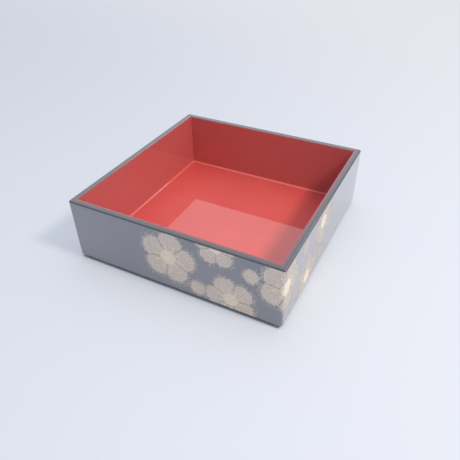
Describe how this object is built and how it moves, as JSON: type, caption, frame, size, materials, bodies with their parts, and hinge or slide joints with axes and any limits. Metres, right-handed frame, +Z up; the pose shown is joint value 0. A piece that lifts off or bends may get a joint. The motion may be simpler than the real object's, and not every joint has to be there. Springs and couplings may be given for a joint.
{
  "type": "tiered lacquer box",
  "caption": "Open square tier of a stacking lacquer box, black outside with powder blossoms round one corner, red inside, with a nesting foot.",
  "frame": {"origin": "middle of the foot's underside, on the surface the tier stands on", "axes": "+Z up out of the open mouth; -Y is the decorated front wall and +X the right wall, which shares the blossoms with it"},
  "size_m": [0.195, 0.195, 0.06],
  "materials": {
    "black_lacquer": "polished black lacquer",
    "red_lacquer": "polished vermilion lacquer",
    "board_wood": "planed cypress, hidden under the coats",
    "key_wood": "planed slips, hidden under the coats",
    "putty": "sawdust and lacquer paste, hidden under the coats",
    "petal_powder": "pale powder sprinkled in lacquer and polished flush",
    "cream_lacquer": "cream lacquer in the blossoms' middles, polished flush"
  },
  "bodies": {
    "root": {"board_front": "board_wood", "board_right": "board_wood", "board_back": "board_wood", "board_left": "board_wood", "floor_board": "board_wood", "foot_batten_front": "board_wood", "foot_batten_right": "board_wood", "foot_batten_back": "board_wood", "foot_batten_left": "board_wood", "corner_key_front_left_1": "key_wood", "corner_key_front_left_2": "key_wood", "corner_key_front_left_3": "key_wood", "corner_key_front_right_1": "key_wood", "corner_key_front_right_2": "key_wood", "corner_key_front_right_3": "key_wood", "corner_key_back_right_1": "key_wood", "corner_key_back_right_2": "key_wood", "corner_key_back_right_3": "key_wood", "corner_key_back_left_1": "key_wood", "corner_key_back_left_2": "key_wood", "corner_key_back_left_3": "key_wood", "floor_cove_front": "putty", "floor_cove_right": "putty", "floor_cove_back": "putty", "floor_cove_left": "putty", "corner_fillet_front_left": "putty", "corner_fillet_front_right": "putty", "corner_fillet_back_right": "putty", "corner_fillet_back_left": "putty", "foot_lacquer": "black_lacquer", "wall_lacquer": "black_lacquer", "lining_lacquer": "red_lacquer"}
  },
  "joints": []
}
